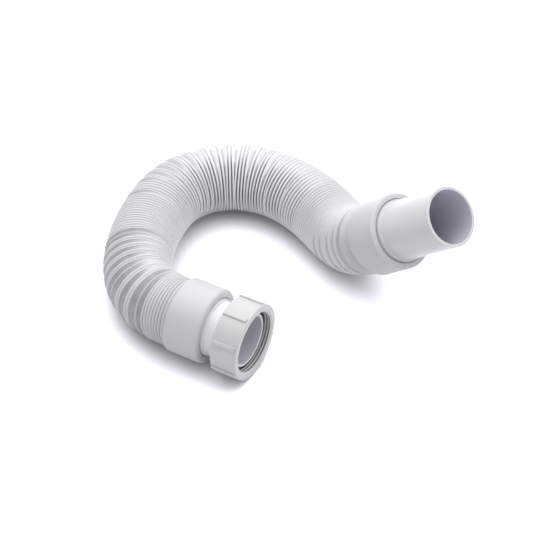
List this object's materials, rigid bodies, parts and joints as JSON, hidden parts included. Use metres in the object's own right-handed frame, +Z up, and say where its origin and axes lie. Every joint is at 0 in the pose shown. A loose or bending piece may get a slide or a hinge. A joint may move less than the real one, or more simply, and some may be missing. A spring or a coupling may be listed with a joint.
{
  "type": "washing machine drain hose",
  "caption": "Extendable bellows waste hose bent in an open C, with a captive ribbed union nut and seal at one cuff and a plain 43 mm pipe spigot at the other.",
  "frame": {"origin": "on the floor that the hose lies on, under the middle of its box", "axes": "+X along the union nut's axis, out of its mouth; +Z up"},
  "size_m": [0.2688, 0.2132, 0.1196],
  "materials": {
    "hose_plastic": "satin blow-moulded white polypropylene",
    "tailpiece_plastic": "satin injection-moulded white polypropylene",
    "nut_plastic": "satin to semi-gloss injection-moulded white polypropylene",
    "seal_rubber": "matt black rubber",
    "spigot_plastic": "satin to semi-gloss injection-moulded white polypropylene"
  },
  "bodies": {
    "hose_body": {"hose": "hose_plastic", "union_tailpiece": "tailpiece_plastic", "seal_ring": "seal_rubber", "outlet_spigot": "spigot_plastic"},
    "nut": {"union_nut": "nut_plastic"}
  },
  "joints": [
    {"name": "nut_spin", "type": "hinge", "parent": "hose_body", "child": "nut", "pos_m": [0.0269, -0.07828, 0.0283], "axis": [1, 0, 0], "continuous": true}
  ]
}
